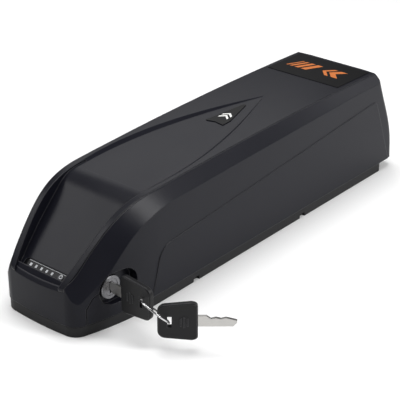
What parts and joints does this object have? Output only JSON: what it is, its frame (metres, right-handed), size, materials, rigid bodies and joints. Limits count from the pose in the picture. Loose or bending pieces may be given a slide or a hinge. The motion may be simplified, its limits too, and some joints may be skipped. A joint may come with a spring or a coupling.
{
  "type": "battery pack",
  "caption": "Down-tube electric bicycle battery pack on its slotted mounting plate, with a side key lock, indicator scoop and spare key on a ring.",
  "frame": {"origin": "middle of the row of mounting slots, on the underside of the plate", "axes": "+X from the thin nose to the thick end, -Y the lock side, +Z away from the frame tube"},
  "size_m": [0.366, 0.1666, 0.0881],
  "materials": {
    "badge_gloss": null,
    "board": "solder resist",
    "button_rubber": "soft matt",
    "cell_sleeve": "shrink sleeve on a can",
    "chips": "moulded packages",
    "contact_copper": "plated copper",
    "cover_plastic": "fine textured satin",
    "foam": "closed foam",
    "fuse_glass": "ceramic body with metal caps",
    "heat_sink": "extruded",
    "holder_plastic": "moulded frame",
    "key_metal": "nickel plated",
    "key_plastic": "moulded grip",
    "label_film": null,
    "led": "lens",
    "lock_chrome": "satin chrome",
    "nickel": "nickel strip",
    "paper": "fish paper",
    "plate_plastic": "fine textured matt",
    "ring_steel": "bright spring wire",
    "rocker_red": "moulded gloss",
    "rubber": "soft matt",
    "shell_plastic": "fine textured satin",
    "socket_plastic": "moulded",
    "steel": "zinc plated",
    "window_gloss": "smoked gloss",
    "wire_black": "silicone lead",
    "wire_red": "silicone lead",
    "wire_white": "harness sleeve"
  },
  "bodies": {
    "mount": {"mount_plate": "plate_plastic", "strike_plate": "steel", "strike_screws": "steel", "plate_connector": "socket_plastic", "plate_contacts": "contact_copper", "connector_screws": "steel", "cable_grommet": "rubber"},
    "pack": {"case_shell": "shell_plastic", "top_cover": "cover_plastic", "bottom_cover": "plate_plastic", "bottom_screws": "steel", "top_badge": "badge_gloss", "end_label": "label_film", "indicator_window": "window_gloss", "indicator_board": "board", "indicator_leds": "led", "lock_body": "lock_chrome", "lock_nut": "steel", "bolt_guide": "socket_plastic", "cell_row_lower": "cell_sleeve", "cell_row_middle": "cell_sleeve", "cell_row_upper": "cell_sleeve", "cell_holder_left": "holder_plastic", "cell_holder_right": "holder_plastic", "nickel_strips": "nickel", "side_insulation": "paper", "top_insulation": "paper", "bms_foam": "foam", "bms_board": "board", "bms_transistors": "chips", "bms_heat_sink": "heat_sink", "bms_parts": "chips", "fuse_holder": "socket_plastic", "main_fuse": "fuse_glass", "discharge_socket": "socket_plastic", "socket_contacts": "contact_copper", "charge_socket": "socket_plastic", "charge_pin": "contact_copper", "charge_nut": "steel", "charge_cover_pin": "steel", "switch_body": "socket_plastic", "rocker_pin": "steel", "lead_socket_positive": "wire_red", "lead_socket_negative": "wire_black", "lead_cells_to_fuse": "wire_red", "lead_fuse_to_board": "wire_red", "lead_charge": "wire_red", "lead_indicator": "wire_black", "balance_harness": "wire_white"},
    "lock_plug": {"lock_plug": "lock_chrome", "lock_cam": "steel"},
    "lock_bolt": {"lock_bolt": "steel"},
    "key": {"key_blade": "key_metal", "key_head": "key_plastic"},
    "key_ring": {"key_ring": "ring_steel"},
    "spare_key": {"spare_key_blade": "key_metal", "spare_key_head": "key_plastic"},
    "indicator_button": {"indicator_button": "button_rubber"},
    "charge_cover": {"charge_cover": "rubber"},
    "rocker": {"rocker": "rocker_red"}
  },
  "joints": [
    {"name": "pack_slide", "type": "slide", "parent": "mount", "child": "pack", "axis": [-1, 0, 0], "range_m": [0, 0.016]},
    {"name": "lock_turn", "type": "hinge", "parent": "pack", "child": "lock_plug", "pos_m": [-0.1515, -0.03, 0.029], "axis": [0, -1, 0], "range_deg": [-90, 0]},
    {"name": "bolt_slide", "type": "slide", "parent": "pack", "child": "lock_bolt", "axis": [0, 0, 1], "range_m": [-0.00849, 0]},
    {"name": "key_withdraw", "type": "slide", "parent": "lock_plug", "child": "key", "axis": [0, -1, 0], "range_m": [0, 0.028]},
    {"name": "ring_swing", "type": "hinge", "parent": "key", "child": "key_ring", "pos_m": [-0.1515, -0.0668, 0.0296], "axis": [0.7215, 0, -0.6924], "range_deg": [-15, 15]},
    {"name": "spare_key_swing", "type": "hinge", "parent": "key_ring", "child": "spare_key", "pos_m": [-0.14996, -0.08798, 0.02082], "axis": [0.6803, 0.5752, -0.4542], "range_deg": [-15, 15]},
    {"name": "button_press", "type": "slide", "parent": "pack", "child": "indicator_button", "axis": [0.5519, 0, -0.8339], "range_m": [0, 0.0004], "stiffness_N_per_m": 400},
    {"name": "charge_cover_swing", "type": "hinge", "parent": "pack", "child": "charge_cover", "pos_m": [-0.116, 0.0431, 0.024], "axis": [0, 0, -1], "range_deg": [0, 110]},
    {"name": "rocker_tilt", "type": "hinge", "parent": "pack", "child": "rocker", "pos_m": [-0.1545, 0.0335, 0.025], "axis": [0, 0, -1], "range_deg": [0, 16]}
  ],
  "couplings": [
    {"joint": "bolt_slide", "follows": "lock_turn", "m_per_rad": 0.0054019}
  ]
}
